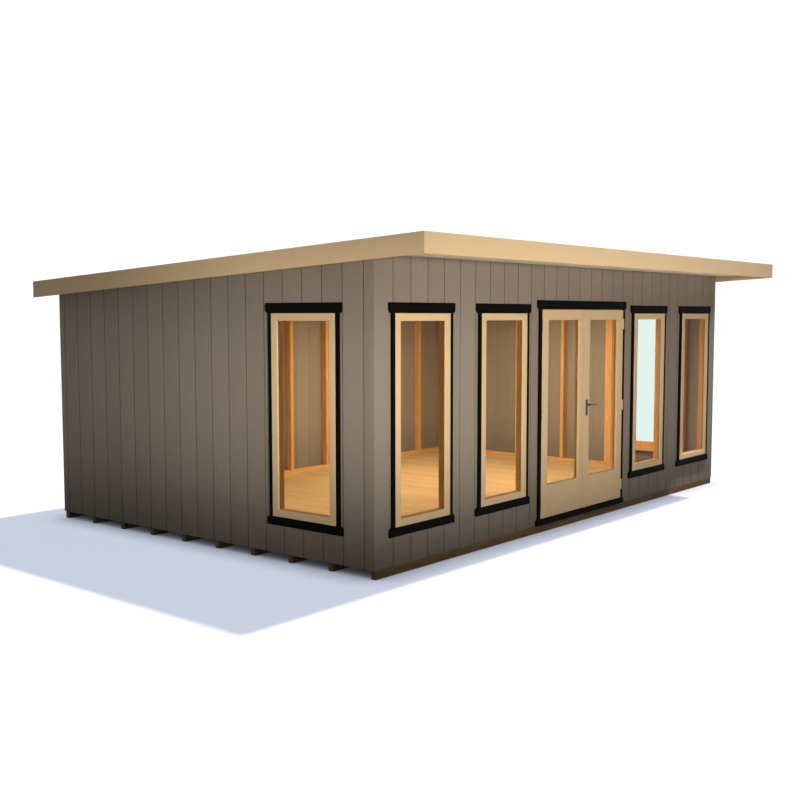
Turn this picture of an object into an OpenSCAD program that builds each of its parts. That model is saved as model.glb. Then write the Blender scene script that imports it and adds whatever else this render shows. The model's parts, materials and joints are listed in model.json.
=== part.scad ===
// Garden room with a low pitched roof, tall windows and a pair of glazed doors.
// Millimetres. X runs along the front, the front faces -Y, Z is up from the ground.

/* [Building] */
// Outside length of the walls
wall_length = 5970; // [4960:10:6900]
// Outside depth of the walls, front face to back face
wall_depth = 3915; // [3250:5:4600]
// Top of the front fascia above the ground
roof_height = 2500; // [2080:5:2900]
// Drop of the roof from its front edge to its back edge
roof_fall = 248; // [160:2:300]

/* [Roof] */
// Roof beyond the front wall
front_overhang = 592; // [400:2:800]
// Roof beyond each end wall
side_overhang = 169; // [140:1:260]
// Roof beyond the back wall
back_overhang = 165; // [120:1:260]
// Height of the fascia and barge boards
fascia_depth = 150; // [144:1:180]
// Thickness of the fascia and barge boards
fascia_thick = 20; // [15:1:25]
// Lower edge of the back fascia below the soffit underside
back_cover = 18; // [10:1:20]
// Soffit underside above the lower edge of the fascia
soffit_lift = 56; // [30:1:60]
// Thickness of the soffit boards
soffit_thick = 9; // [6:1:12]
// Thickness of the roof deck
roof_deck_thick = 15; // [9:1:18]
// Thickness of the roof covering
felt_thick = 4; // [2:0.5:6]
// Fascia top above the roof covering
upstand = 4; // [0:0.5:6]
// Width of a rafter
rafter_width = 45; // [38:1:63]
// Bays between the two end wall rafters
rafter_bays = 10; // [8:1:14]

/* [Floor] */
// Number of floor bearers
bearer_count = 10; // [7:1:12]
// Height of a bearer
bearer_height = 68; // [60:1:75]
// Width of a bearer
bearer_width = 44; // [38:1:70]
// Bearer ends behind the end wall faces
bearer_inset = 14; // [5:1:15]
// Thickness of the floor deck
floor_thick = 19; // [15:1:22]

/* [Walls] */
// Thickness of the vertical cladding
clad_thick = 16; // [12:1:19]
// Face width of a stud
stud_width = 45; // [38:1:50]
// Depth of a stud, across the wall
stud_depth = 70; // [60:1:90]
// Height of the bottom and top plates
plate_height = 45; // [38:1:50]

/* [Windows] */
// Width over a window frame
window_width = 676; // [600:2:690]
// Lower edge of the window frames
window_bottom = 362; // [300:2:400]
// Window frame tops below the roof's front edge
window_drop = 548; // [500:2:640]
// Share of the spare wall length that lies between the two windows of a side
window_spread = 0.57; // [0.3:0.01:0.8]
// Front wall face to the middle of an end wall window
end_window_mid = 700; // [660:2:740]
// Face width of a frame's upright members
frame_side = 67; // [50:1:80]
// Face width of a frame's top and bottom members
frame_rail = 59; // [45:1:75]
// Depth of the outer frame in front of the pane
frame_depth = 14; // [12:1:18]
// Depth of the inner lining with the pane pocket
lining_depth = 52; // [44:1:58]
// Thickness of every pane
pane_thick = 4; // [3:0.5:8]
// Cover of the frame over a pane's edge
pane_cover = 12; // [8:1:15]
// Play round a pane's edge in its pocket
pane_play = 1; // [0.5:0.5:2]

/* [Trims] */
// Thickness of the side trims, also how far frames stand proud
trim_thick = 20; // [16:1:24]
// Thickness of the head and sill trims
head_thick = 20; // [18:1:26]
// Width of a window's side trims
trim_width = 35; // [28:1:40]
// Height of the head trims
head_height = 80; // [64:1:84]
// Height of the window sill trims
sill_height = 70; // [60:1:80]
// Head and sill trims beyond the side trims
trim_ears = 28; // [20:1:30]

/* [Doors] */
// Width of the door opening between the jambs
door_width = 1488; // [1440:2:1500]
// Top of the door opening below the roof's front edge
door_drop = 512; // [490:2:560]
// Lower edge of the door opening
door_bottom = 123; // [120:1:135]
// Thickness of a leaf
leaf_thick = 45; // [40:1:48]
// Clearance round the leaves and in front of the stops
leaf_gap = 5; // [5:0.5:7]
// Clearance between the two leaves
meeting_gap = 7; // [7:0.5:10]
// Line where the leaves meet, from the middle of the opening
meeting_line = -12; // [-20:1:0]
// Outer stile, from the opening's edge to the pane opening
hinge_stile = 109; // [90:1:125]
// Inner stile, from the middle of the opening to the pane opening
lock_stile = 102; // [95:1:115]
// Lower edge of the pane openings
leaf_glass_bottom = 425; // [380:1:480]
// Top rail, from the opening's top to the pane opening
top_rail = 97; // [85:1:140]
// Thickness of the jambs
jamb_thick = 25; // [20:1:30]
// Width of the stops behind the leaves
stop_width = 20; // [12:1:24]
// Width of the door's side trims
door_trim_width = 38; // [32:1:44]

/* [Hinges and lever] */
// Length of a hinge
hinge_length = 100; // [75:1:120]
// Radius of a hinge knuckle
knuckle_r = 5; // [4:0.25:5.5]
// Radius of a hinge pin
pin_r = 2.5; // [2:0.25:3]
// Running clearance of pins and of the lever spindle
run_gap = 0.05; // [0.03:0.01:0.1]
// Hinge axis in front of the leaf face
hinge_proud = 6.5; // [6:0.25:8]
// Depth of the hinge flaps along the leaf edge
flap_depth = 36; // [28:1:38]
// Thickness of a hinge flap
flap_thick = 2; // [1.5:0.25:2]
// Height of the lever above the ground
lever_height = 1100; // [1000:5:1110]
// Lever spindle from the middle of the opening
lever_x = 46; // [44:1:52]
// Radius of the lever and its spindle
lever_r = 8; // [6:0.5:9]
// Reach of the lever from its spindle
lever_reach = 104; // [90:1:120]
// Lever's centre line in front of the leaf face
lever_proud = 44; // [38:1:46]
// Width of a handle plate
handle_width = 36; // [30:1:40]
// Lower edge of the handle plates below the lever
handle_drop = 103; // [80:1:110]
// Upper edge of the handle plates above the lever
handle_rise = 48; // [30:1:60]
// Thickness of a handle plate
handle_thick = 4; // [3:0.5:6]

/* [Hidden] */
$fn = 48;
half_l = wall_length / 2;
roof_half = half_l + side_overhang;
roof_depth = wall_depth + front_overhang + back_overhang;
roof_front = -roof_depth / 2;
roof_back = roof_depth / 2;
wall_front = roof_front + front_overhang;
wall_back = roof_back - back_overhang;
slope = roof_fall / roof_depth;
frame_front = wall_front + clad_thick;
frame_back = wall_back - clad_thick;
inner_front = frame_front + stud_depth;
inner_back = frame_back - stud_depth;
frame_end = half_l - clad_thick;
inner_end = frame_end - stud_depth;
floor_top = bearer_height + floor_thick;
stud_foot = floor_top + plate_height;
butt_gap = 1;
// Play between pieces that meet along the roof's slope
seat_gap = 0.05;

felt_drop = upstand;
deck_drop = felt_drop + felt_thick;
rafter_drop = deck_drop + roof_deck_thick;
soffit_drop = fascia_depth - soffit_lift - soffit_thick;
wall_drop = soffit_drop + seat_gap;
plate_drop = soffit_drop + plate_height;
stud_drop = plate_drop + seat_gap;
board_in = roof_half - fascia_thick;

window_half = window_width / 2;
window_top = roof_height - window_drop;
trim_reach = trim_width + trim_ears;
end_mid = wall_front + end_window_mid;
pane_y = frame_depth - trim_thick;
glass_half = window_half - frame_side;
glass_low = window_bottom + frame_rail;
glass_high = window_top - frame_rail;

door_half = door_width / 2;
door_top = roof_height - door_drop;
leaf_glass_top = door_top - top_rail;
jamb_out = door_half + jamb_thick;
leaf_half = door_half - leaf_gap;
leaf_low = door_bottom + leaf_gap;
leaf_high = door_top - leaf_gap;
leaf_face = wall_front - trim_thick;
leaf_back = leaf_face + leaf_thick;
leaf_pane_y = leaf_face + trim_thick;
stop_face = leaf_back + leaf_gap;
header_low = door_top + jamb_thick;
hinge_x = door_half - leaf_gap / 2;
hinge_y = leaf_face - hinge_proud;
hinge_zs = [door_bottom + 140, (door_bottom + door_top) / 2, door_top - 140];
flap_y = leaf_face - 0.5;
knuckle_gap = 1;
knuckle_long = hinge_length * 0.38;
knuckle_end = (hinge_length - knuckle_long) / 2 - knuckle_gap;

// Front windows: least gaps beside the frames, then the spare length shared out
door_gap_min = door_half + door_trim_width + trim_ears - jamb_out + trim_reach + 2;
mid_gap_min = 2 * trim_reach + 2;
end_gap_min = 2 * stud_width + clad_thick + 2;
spare = half_l - jamb_out - 2 * window_width - door_gap_min - mid_gap_min - end_gap_min;
side_share = spare * (1 - window_spread) / 2;
inner_mid = jamb_out + door_gap_min + side_share + window_half;
outer_mid = half_l - end_gap_min - side_share - window_half;
front_mids = [-outer_mid, -inner_mid, inner_mid, outer_mid];

// Height of a plane that lies a given drop under the fascia tops
function roof_z(y, drop) = roof_height - slope * (y - roof_front) - drop;

module block(x0, x1, y0, y1, z0, z1) {
  translate([x0, y0, z0])
    cube([x1 - x0, y1 - y0, z1 - z0]);
}

// Outline in Y and Z, drawn out along X
module drawn_x(x0, x1, outline) {
  translate([x0, 0, 0])
    rotate([90, 0, 90])
      linear_extrude(height = x1 - x0)
        polygon(outline);
}

// Layer of the roof between two drops
module roof_layer(x0, x1, y0, y1, high, low) {
  drawn_x(x0, x1, [
    [y0, roof_z(y0, low)], [y1, roof_z(y1, low)],
    [y1, roof_z(y1, high)], [y0, roof_z(y0, high)]
  ]);
}

// Upright piece cut to the roof's slope at its top
module upright(x0, x1, y0, y1, z0, drop) {
  drawn_x(x0, x1, [[y0, z0], [y1, z0], [y1, roof_z(y1, drop)], [y0, roof_z(y0, drop)]]);
}

// Places a piece at every window: X along the wall, Y into the room
module at_front_windows(mids) {
  for (x = mids)
    translate([x, wall_front, 0])
      children();
}

module at_left_window() {
  translate([-half_l, end_mid, 0])
    rotate([0, 0, -90])
      children();
}

module at_right_window() {
  translate([half_l, end_mid, 0])
    rotate([0, 0, 90])
      children();
}

module at_windows() {
  at_front_windows(front_mids) children();
  at_left_window() children();
  at_right_window() children();
}

module window_hole() {
  block(-window_half, window_half, -clad_thick, 2 * clad_thick, window_bottom, window_top);
}

// Floor

module floor_bearers() {
  pitch = (wall_depth - bearer_width) / (bearer_count - 1);
  reach = half_l - bearer_inset;
  color([0.36, 0.27, 0.18])
    for (i = [0 : bearer_count - 1])
      translate([0, wall_front + i * pitch, 0])
        block(-reach, reach, 0, bearer_width, 0, bearer_height);
}

module floor_deck() {
  color([0.80, 0.58, 0.34])
    block(-frame_end, frame_end, frame_front, frame_back, bearer_height, floor_top);
}

// Walls

module front_wall_side(mids, x0, x1) {
  color([0.53, 0.48, 0.42])
    difference() {
      upright(x0, x1, wall_front, frame_front, bearer_height, wall_drop);
      at_front_windows(mids) window_hole();
    }
}

module front_wall_left() {
  front_wall_side([-outer_mid, -inner_mid], -half_l, -jamb_out);
}

module front_wall_right() {
  front_wall_side([inner_mid, outer_mid], jamb_out, half_l);
}

module front_wall_over_door() {
  color([0.53, 0.48, 0.42])
    upright(-jamb_out, jamb_out, wall_front, frame_front, header_low, wall_drop);
}

module back_wall() {
  color([0.53, 0.48, 0.42])
    upright(-half_l, half_l, frame_back, wall_back, bearer_height, wall_drop);
}

module left_wall() {
  color([0.53, 0.48, 0.42])
    difference() {
      upright(-half_l, -frame_end, frame_front, frame_back, bearer_height, wall_drop);
      at_left_window() window_hole();
    }
}

module right_wall() {
  color([0.53, 0.48, 0.42])
    difference() {
      upright(frame_end, half_l, frame_front, frame_back, bearer_height, wall_drop);
      at_right_window() window_hole();
    }
}

// Wall framing

module bottom_plates() {
  color([0.86, 0.58, 0.33]) {
    block(-frame_end, -jamb_out, frame_front, inner_front, floor_top, stud_foot);
    block(jamb_out, frame_end, frame_front, inner_front, floor_top, stud_foot);
    block(-frame_end, frame_end, inner_back, frame_back, floor_top, stud_foot);
    for (x = [-frame_end, inner_end])
      block(x, x + stud_depth, inner_front + butt_gap, inner_back - butt_gap, floor_top, stud_foot);
  }
}

module top_plates() {
  color([0.86, 0.58, 0.33]) {
    roof_layer(-frame_end, frame_end, frame_front, inner_front, wall_drop, plate_drop);
    roof_layer(-frame_end, frame_end, inner_back, frame_back, wall_drop, plate_drop);
    for (x = [-frame_end, inner_end])
      roof_layer(x, x + stud_depth, inner_front + butt_gap, inner_back - butt_gap,
        wall_drop, plate_drop);
  }
}

module long_stud(x, y0, y1) {
  upright(x, x + stud_width, y0, y1, stud_foot, stud_drop);
}

module front_wall_studs() {
  sides = [for (m = [inner_mid, outer_mid]) each [m - window_half - stud_width, m + window_half]];
  starts = concat([jamb_out, frame_end - stud_width], sides);
  color([0.86, 0.58, 0.33])
    for (x = starts) {
      long_stud(x, frame_front, inner_front);
      long_stud(-x - stud_width, frame_front, inner_front);
    }
}

module back_wall_studs() {
  pitch = wall_length / 10;
  color([0.86, 0.58, 0.33]) {
    for (i = [-4 : 4])
      long_stud(i * pitch - stud_width / 2, inner_back, frame_back);
    long_stud(-frame_end, inner_back, frame_back);
    long_stud(frame_end - stud_width, inner_back, frame_back);
  }
}

module end_stud(x, y0, width) {
  upright(x, x + stud_depth, y0, y0 + width, stud_foot, stud_drop);
}

module end_wall_studs() {
  color([0.86, 0.58, 0.33])
    for (x = [-frame_end, inner_end]) {
      end_stud(x, inner_front + butt_gap, stud_width);
      end_stud(x, end_mid - window_half - stud_width, stud_width);
      end_stud(x, end_mid + window_half, stud_width);
      end_stud(x, wall_front + wall_depth / 3 - stud_width, 2 * stud_width);
      end_stud(x, wall_front + wall_depth / 2 - stud_width / 2, stud_width);
      end_stud(x, wall_front + wall_depth * 2 / 3 - stud_width, 2 * stud_width);
      end_stud(x, wall_front + wall_depth * 5 / 6 - stud_width / 2, stud_width);
      end_stud(x, inner_back - butt_gap - stud_width, stud_width);
    }
}

module trimmers() {
  y0 = clad_thick;
  y1 = clad_thick + stud_depth;
  color([0.86, 0.58, 0.33]) {
    at_windows() {
      block(-window_half, window_half, y0, y1, window_bottom - stud_width, window_bottom);
      block(-window_half, window_half, y0, y1, window_top, window_top + stud_width);
    }
    block(-jamb_out, jamb_out, frame_front, inner_front, header_low, header_low + stud_width);
  }
}

// Windows

module window_frames() {
  color([0.88, 0.76, 0.58])
    at_windows()
      difference() {
        block(-window_half, window_half, -trim_thick, pane_y, window_bottom, window_top);
        block(-glass_half, glass_half, -trim_thick - 1, pane_y + 1, glass_low, glass_high);
      }
}

module window_linings() {
  pocket = pane_cover + pane_play;
  color([0.86, 0.58, 0.33])
    at_windows()
      difference() {
        block(-window_half, window_half, pane_y, pane_y + lining_depth, window_bottom, window_top);
        block(-glass_half, glass_half, pane_y - 1, pane_y + lining_depth + 1, glass_low, glass_high);
        block(-glass_half - pocket, glass_half + pocket, pane_y - 1, pane_y + pane_thick,
          glass_low - pocket, glass_high + pocket);
      }
}

module window_panes() {
  color([0.75, 0.85, 0.85, 0.35])
    at_windows()
      block(-glass_half - pane_cover, glass_half + pane_cover, pane_y, pane_y + pane_thick,
        glass_low - pane_cover, glass_high + pane_cover);
}

// Trims

module side_trims() {
  door_reach = door_half + door_trim_width;
  color([0.05, 0.05, 0.05]) {
    at_windows()
      for (x = [-window_half - trim_width, window_half])
        block(x, x + trim_width, -trim_thick, 0, window_bottom, window_top);
    for (x = [-door_reach, door_half])
      block(x, x + door_trim_width, leaf_face, wall_front, door_bottom, door_top);
  }
}

// Trim with two ends rounded back to the side trims: the lower ends if hang is true, else the upper
module eared_trim(half, z0, z1, hang) {
  r = min(trim_ears, (z1 - z0) / 2);
  far = half + trim_ears;
  ear_z = hang ? z0 + r : z1 - r;
  color([0.05, 0.05, 0.05])
    union() {
      block(r - far, far - r, -head_thick, 0, z0, z1);
      block(-far, far, -head_thick, 0, hang ? ear_z : z0, hang ? z1 : ear_z);
      for (x = [r - far, far - r])
        translate([x, 0, ear_z])
          rotate([90, 0, 0])
            cylinder(r = r, h = head_thick);
    }
}

module head_trims() {
  at_windows()
    eared_trim(window_half + trim_width, window_top, window_top + head_height, true);
  translate([0, wall_front, 0])
    eared_trim(door_half + door_trim_width, door_top, door_top + head_height, true);
}

module sill_trims() {
  at_windows()
    eared_trim(window_half + trim_width, window_bottom - sill_height, window_bottom, false);
  translate([0, wall_front, 0])
    eared_trim(door_half + door_trim_width, bearer_height, door_bottom, false);
}

// Door frame

module door_jambs() {
  color([0.88, 0.76, 0.58])
    for (side = [0, 1])
      mirror([side, 0, 0])
        union() {
          block(door_half, jamb_out, wall_front, inner_front, floor_top, header_low);
          block(door_half - stop_width, door_half + 1, stop_face, inner_front, door_bottom, door_top);
        }
}

module door_head_jamb() {
  color([0.88, 0.76, 0.58])
    union() {
      block(-door_half, door_half, wall_front, inner_front, door_top, header_low);
      block(-door_half + stop_width, door_half - stop_width, stop_face, inner_front,
        door_top - stop_width, door_top + 1);
    }
}

module door_threshold() {
  reach = door_half - stop_width;
  color([0.80, 0.55, 0.32])
    union() {
      block(-door_half, door_half, wall_front, frame_front, bearer_height, door_bottom);
      block(-door_half, door_half, frame_front - 1, inner_front, floor_top, door_bottom);
      block(-reach, reach, stop_face, inner_front, door_bottom - 1, door_bottom + stop_width);
    }
}

// Hinges, drawn for the right leaf: the outer flap is on the jamb

module knuckle(z, h, r) {
  translate([hinge_x, hinge_y, z])
    cylinder(r = r, h = h);
}

module frame_hinge(z) {
  x1 = door_half;
  x0 = x1 - flap_thick;
  top = hinge_length - knuckle_end;
  translate([0, 0, z - hinge_length / 2])
    union() {
      block(x0, x1, flap_y, leaf_face + flap_depth, 0, hinge_length);
      for (k = [0, top]) {
        block(x0, x1, hinge_y, flap_y + 1, k, k + knuckle_end);
        knuckle(k, knuckle_end, knuckle_r);
      }
      knuckle(0, hinge_length, pin_r);
    }
}

module leaf_hinge(z) {
  x0 = leaf_half;
  x1 = x0 + flap_thick;
  low = knuckle_end + knuckle_gap;
  translate([0, 0, z - hinge_length / 2])
    difference() {
      union() {
        block(x0, x1, flap_y, leaf_face + flap_depth, 0, hinge_length);
        block(x0, x1, hinge_y, flap_y + 1, low, low + knuckle_long);
        knuckle(low, knuckle_long, knuckle_r);
      }
      knuckle(low - 1, knuckle_long + 2, pin_r + run_gap);
    }
}

module door_frame_hinges() {
  color([0.30, 0.32, 0.35])
    for (side = [0, 1], z = hinge_zs)
      mirror([side, 0, 0]) frame_hinge(z);
}

module left_door_hinges() {
  color([0.30, 0.32, 0.35])
    for (z = hinge_zs)
      mirror([1, 0, 0]) leaf_hinge(z);
}

module right_door_hinges() {
  color([0.30, 0.32, 0.35])
    for (z = hinge_zs)
      leaf_hinge(z);
}

// Door leaves, each as an outline from x0 to x1 with its pane opening from g0 to g1

module leaf(x0, x1, g0, g1) {
  pocket = pane_cover + pane_play;
  difference() {
    block(x0, x1, leaf_face, leaf_back, leaf_low, leaf_high);
    block(g0, g1, leaf_face - 1, leaf_back + 1, leaf_glass_bottom, leaf_glass_top);
    block(g0 - pocket, g1 + pocket, leaf_pane_y, leaf_back + 1,
      leaf_glass_bottom - pocket, leaf_glass_top + pocket);
  }
}

module leaf_pane(g0, g1) {
  color([0.75, 0.85, 0.85, 0.35])
    block(g0 - pane_cover, g1 + pane_cover, leaf_pane_y, leaf_pane_y + pane_thick,
      leaf_glass_bottom - pane_cover, leaf_glass_top + pane_cover);
}

module leaf_bead(g0, g1) {
  pocket = pane_cover + pane_play;
  color([0.86, 0.58, 0.33])
    difference() {
      block(g0 - pocket, g1 + pocket, leaf_pane_y + pane_thick, leaf_back,
        leaf_glass_bottom - pocket, leaf_glass_top + pocket);
      block(g0, g1, leaf_pane_y, leaf_back + 1, leaf_glass_bottom, leaf_glass_top);
    }
}

glass_out = door_half - hinge_stile;

module left_door_leaf() {
  color([0.88, 0.76, 0.58])
    leaf(-leaf_half, meeting_line - meeting_gap / 2, -glass_out, -lock_stile);
}

module left_door_pane() {
  leaf_pane(-glass_out, -lock_stile);
}

module left_door_bead() {
  leaf_bead(-glass_out, -lock_stile);
}

module right_door_leaf() {
  color([0.88, 0.76, 0.58])
    difference() {
      leaf(meeting_line + meeting_gap / 2, leaf_half, lock_stile, glass_out);
      spindle(lever_r + run_gap);
    }
}

module right_door_pane() {
  leaf_pane(lock_stile, glass_out);
}

module right_door_bead() {
  leaf_bead(lock_stile, glass_out);
}

// Lever handle, the same on both sides of the right leaf

module spindle(r) {
  long = leaf_thick + 2 * lever_proud;
  translate([lever_x, leaf_face - lever_proud, lever_height])
    rotate([-90, 0, 0])
      cylinder(r = r, h = long);
}

module handle_plate(y0, y1, lock_y0, lock_y1) {
  union() {
    difference() {
      block(lever_x - handle_width / 2, lever_x + handle_width / 2, y0, y1,
        lever_height - handle_drop, lever_height + handle_rise);
      spindle(lever_r + run_gap);
    }
    translate([lever_x, lock_y0, lever_height - handle_drop * 0.7])
      rotate([-90, 0, 0])
        cylinder(r = handle_width * 0.24, h = lock_y1 - lock_y0);
  }
}

module door_handle_plates() {
  lock = handle_thick * 2;
  color([0.22, 0.26, 0.33]) {
    handle_plate(leaf_face - handle_thick, leaf_face, leaf_face - lock, leaf_face);
    handle_plate(leaf_back, leaf_back + handle_thick, leaf_back, leaf_back + lock);
  }
}

module door_lever() {
  color([0.22, 0.26, 0.33])
    union() {
      spindle(lever_r);
      for (y = [leaf_face - lever_proud, leaf_back + lever_proud])
        translate([lever_x, y, lever_height]) {
          sphere(r = lever_r);
          rotate([0, 90, 0])
            cylinder(r = lever_r, h = lever_reach);
          translate([lever_reach, 0, 0])
            sphere(r = lever_r);
        }
    }
}

// Roof

module rafter(x) {
  roof_layer(x, x + rafter_width, roof_front + fascia_thick, roof_back - fascia_thick,
    rafter_drop, soffit_drop);
}

module rafters() {
  first = -half_l;
  pitch = (wall_length - rafter_width) / rafter_bays;
  color([0.86, 0.58, 0.33]) {
    for (i = [0 : rafter_bays])
      rafter(first + i * pitch);
    rafter(-board_in);
    rafter(board_in - rafter_width);
  }
}

module roof_deck() {
  color([0.78, 0.62, 0.42])
    roof_layer(-board_in, board_in, roof_front + fascia_thick, roof_back - fascia_thick,
      deck_drop, rafter_drop);
}

module roof_covering() {
  color([0.20, 0.21, 0.22])
    roof_layer(-board_in, board_in, roof_front + fascia_thick, roof_back - fascia_thick,
      felt_drop, deck_drop);
}

module soffits() {
  low = soffit_drop + soffit_thick;
  color([0.45, 0.42, 0.38]) {
    roof_layer(-board_in, board_in, roof_front + fascia_thick, wall_front, wall_drop, low);
    roof_layer(-board_in, board_in, wall_back, roof_back - fascia_thick, wall_drop, low);
    for (x = [-board_in, half_l])
      roof_layer(x, x + board_in - half_l, wall_front + butt_gap, wall_back - butt_gap,
        wall_drop, low);
  }
}

// Board at the roof's edge, its front ends cut to a mitre by the plan outline
module edge_board(y0, y1, plan) {
  color([0.88, 0.76, 0.58])
    intersection() {
      roof_layer(-roof_half, roof_half, y0, y1, 0, fascia_depth);
      linear_extrude(height = roof_height + 1)
        polygon(plan);
    }
}

module front_fascia() {
  y1 = roof_front + fascia_thick;
  edge_board(roof_front, y1,
    [[-roof_half, roof_front], [roof_half, roof_front], [board_in, y1], [-board_in, y1]]);
}

// Between the barge boards, which run past it
module back_fascia() {
  color([0.88, 0.76, 0.58])
    roof_layer(-board_in, board_in, roof_back - fascia_thick, roof_back,
      0, fascia_depth - soffit_lift + back_cover);
}

module right_barge_board() {
  edge_board(roof_front, roof_back, [
    [board_in, roof_front + fascia_thick], [roof_half, roof_front],
    [roof_half, roof_back], [board_in, roof_back]
  ]);
}

module left_barge_board() {
  mirror([1, 0, 0]) right_barge_board();
}

floor_bearers();
floor_deck();
front_wall_left();
front_wall_right();
front_wall_over_door();
back_wall();
left_wall();
right_wall();
bottom_plates();
top_plates();
front_wall_studs();
back_wall_studs();
end_wall_studs();
trimmers();
window_frames();
window_linings();
window_panes();
side_trims();
head_trims();
sill_trims();
door_jambs();
door_head_jamb();
door_threshold();
door_frame_hinges();
left_door_leaf();
left_door_pane();
left_door_bead();
left_door_hinges();
right_door_leaf();
right_door_pane();
right_door_bead();
right_door_hinges();
door_handle_plates();
door_lever();
rafters();
roof_deck();
roof_covering();
soffits();
front_fascia();
back_fascia();
left_barge_board();
right_barge_board();
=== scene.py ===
import json
import math
import random

import bmesh
import bpy
from mathutils import Matrix, Vector


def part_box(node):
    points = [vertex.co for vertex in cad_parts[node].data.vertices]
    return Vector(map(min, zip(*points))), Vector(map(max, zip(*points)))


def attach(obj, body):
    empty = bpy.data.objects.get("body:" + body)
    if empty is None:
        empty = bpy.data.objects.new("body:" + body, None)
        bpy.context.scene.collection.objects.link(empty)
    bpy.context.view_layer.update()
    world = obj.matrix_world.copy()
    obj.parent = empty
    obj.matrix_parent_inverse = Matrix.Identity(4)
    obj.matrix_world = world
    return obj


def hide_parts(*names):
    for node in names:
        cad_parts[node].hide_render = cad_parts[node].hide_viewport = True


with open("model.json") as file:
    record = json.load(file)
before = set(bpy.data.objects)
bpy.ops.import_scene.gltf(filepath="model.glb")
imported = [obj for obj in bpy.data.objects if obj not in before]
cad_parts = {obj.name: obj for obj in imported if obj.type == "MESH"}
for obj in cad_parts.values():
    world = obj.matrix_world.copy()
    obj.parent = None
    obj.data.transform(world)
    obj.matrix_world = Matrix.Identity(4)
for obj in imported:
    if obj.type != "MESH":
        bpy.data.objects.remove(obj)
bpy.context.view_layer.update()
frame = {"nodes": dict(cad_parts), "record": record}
nodes = frame["nodes"]
bodyOf = {n: b for b, members in frame["record"]["behaviour"]["bodies"].items() for n in members}
slotOf = {s["node"]: s["material_slot"] for s in frame["record"]["subparts"]}
for hinges in ("door_frame_hinges", "left_door_hinges", "right_door_hinges"):
    slotOf[hinges] = slotOf["door_jambs"]  # painted in with the jambs
print("frame loaded:", len(nodes), "nodes")


# node helpers

def addNode(tree, kind, **settings):
    node = tree.nodes.new(kind)
    for key, value in settings.items():
        setattr(node, key, value)
    return node


def setInputs(node, values):
    for label, value in values.items():
        node.inputs[label].default_value = value
    return node


def join(tree, *pairs):
    for source, target in pairs:
        tree.links.new(source, target)


# a link from another socket, or else a plain value
def feed(tree, socket, value):
    if isinstance(value, bpy.types.NodeSocket):
        join(tree, (value, socket))
    else:
        socket.default_value = value


def newGroup(name, inputs, outputs):
    tree = bpy.data.node_groups.new(name, "ShaderNodeTree")
    for label, value in inputs.items():
        socket = tree.interface.new_socket(label, in_out="INPUT", socket_type="NodeSocketFloat")
        socket.default_value = value
    for label in outputs:
        tree.interface.new_socket(label, in_out="OUTPUT", socket_type="NodeSocketFloat")
    return tree, addNode(tree, "NodeGroupInput"), addNode(tree, "NodeGroupOutput")


def maths(tree, operation, *values):
    node = addNode(tree, "ShaderNodeMath", operation=operation)
    for index, value in enumerate(values):
        feed(tree, node.inputs[index], value)
    return node.outputs[0]


def product(tree, first, *others):
    for other in others:
        first = maths(tree, "MULTIPLY", first, other)
    return first


def vectorMaths(tree, operation, first, second):
    node = addNode(tree, "ShaderNodeVectorMath", operation=operation)
    feed(tree, node.inputs[0], first)
    feed(tree, node.inputs["Scale" if operation == "SCALE" else 1], second)
    return node.outputs[0]


def mixColour(tree, factor, first, second, blend="MIX"):
    node = addNode(tree, "ShaderNodeMix", data_type="RGBA", blend_type=blend)
    feed(tree, node.inputs[0], factor)
    for index, colour in ((6, first), (7, second)):  # the colour sockets of a Mix node
        feed(tree, node.inputs[index], (*colour, 1.0) if isinstance(colour, tuple) else colour)
    return node.outputs[2]


# a value from 0 to 1, spread over low to high
def spread(tree, value, low, high):
    node = setInputs(addNode(tree, "ShaderNodeMapRange"), {"To Min": low, "To Max": high})
    join(tree, (value, node.inputs["Value"]))
    return node.outputs[0]


def around(tree, value, middle, reach):
    return spread(tree, value, middle - reach, middle + reach)


grainLook = {
    "shift": 61.0, "rings": 34.0,
    "coarse": {"Scale": 0.5, "Detail": 3.0, "Distortion": 0.5}, "fine": {"Scale": 3.5, "Detail": 2.0},
}


# grain that runs along each timber's own axis, shifted from piece to piece
def buildGrainGroup(look):
    tree, entry, leave = newGroup(
        "timberGrain", {"Fineness": 60.0, "Stretch": 0.04}, ("Grain", "Fine", "Bands", "Tone"))
    coord = addNode(tree, "ShaderNodeTexCoord")
    axis = addNode(tree, "ShaderNodeAttribute", attribute_name="grainAxis")
    tone = addNode(tree, "ShaderNodeAttribute", attribute_name="pieceTone")
    loss = maths(tree, "SUBTRACT", 1.0, entry.outputs["Stretch"])
    along = vectorMaths(tree, "SCALE", axis.outputs["Vector"], loss)
    keep = vectorMaths(tree, "SUBTRACT", (1, 1, 1), along)
    squeezed = vectorMaths(tree, "MULTIPLY", coord.outputs["Object"], keep)
    scaled = vectorMaths(tree, "SCALE", squeezed, entry.outputs["Fineness"])
    placed = vectorMaths(tree, "ADD", scaled, maths(tree, "MULTIPLY", tone.outputs["Fac"], look["shift"]))
    coarse = setInputs(addNode(tree, "ShaderNodeTexNoise"), look["coarse"])
    fine = setInputs(addNode(tree, "ShaderNodeTexNoise"), look["fine"])
    rings = maths(tree, "SINE", maths(tree, "MULTIPLY", coarse.outputs["Fac"], look["rings"]))
    join(
        tree,
        (placed, coarse.inputs["Vector"]),
        (placed, fine.inputs["Vector"]),
        (coarse.outputs["Fac"], leave.inputs["Grain"]),
        (fine.outputs["Fac"], leave.inputs["Fine"]),
        (maths(tree, "MULTIPLY_ADD", rings, 0.5, 0.5), leave.inputs["Bands"]),
        (tone.outputs["Fac"], leave.inputs["Tone"]),
    )
    return tree


mottleLook = {"broad": {"Detail": 4.0}, "speck": {"Scale": 420.0, "Detail": 1.0}}


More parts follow.
